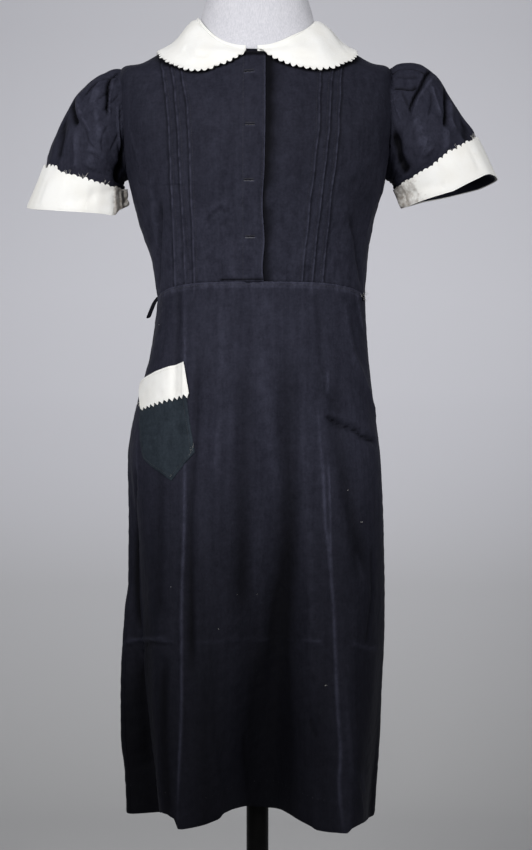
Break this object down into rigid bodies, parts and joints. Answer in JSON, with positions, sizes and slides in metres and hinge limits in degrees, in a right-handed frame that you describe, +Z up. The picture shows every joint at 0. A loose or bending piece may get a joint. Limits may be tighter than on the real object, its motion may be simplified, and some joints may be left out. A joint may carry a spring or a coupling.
{
  "type": "work uniform dress on a limbless dress form",
  "caption": "Short-sleeved black cotton work uniform dress with a white round collar, white turned-up cuffs and a pocket, worn by a limbless dress form on a pole and round base.",
  "frame": {"origin": "middle of the base's underside, on the pole's axis, on the surface the stand rests on", "axes": "+Z up along the pole, +X towards the wearer's left sleeve, -Y the way the dress faces"},
  "size_m": [0.6627, 0.33, 1.5],
  "materials": {
    "black_cotton": "matt, faded plain-weave cotton",
    "white_cotton": "matt plain-weave cotton with pinked edges",
    "form_jersey": "matt speckled knit cover",
    "black_enamel": "satin"
  },
  "bodies": {
    "root": {"bodice_front_right": "black_cotton", "bodice_front_left": "black_cotton", "bodice_back": "black_cotton", "skirt_front": "black_cotton", "skirt_back": "black_cotton", "sleeve_right": "black_cotton", "sleeve_left": "black_cotton", "pocket": "black_cotton", "tie_right": "black_cotton", "tie_left": "black_cotton", "collar": "white_cotton", "cuff_right": "white_cotton", "cuff_left": "white_cotton", "pocket_flap": "white_cotton", "form_body": "form_jersey", "form_pole": "black_enamel", "form_base": "black_enamel"}
  },
  "joints": []
}
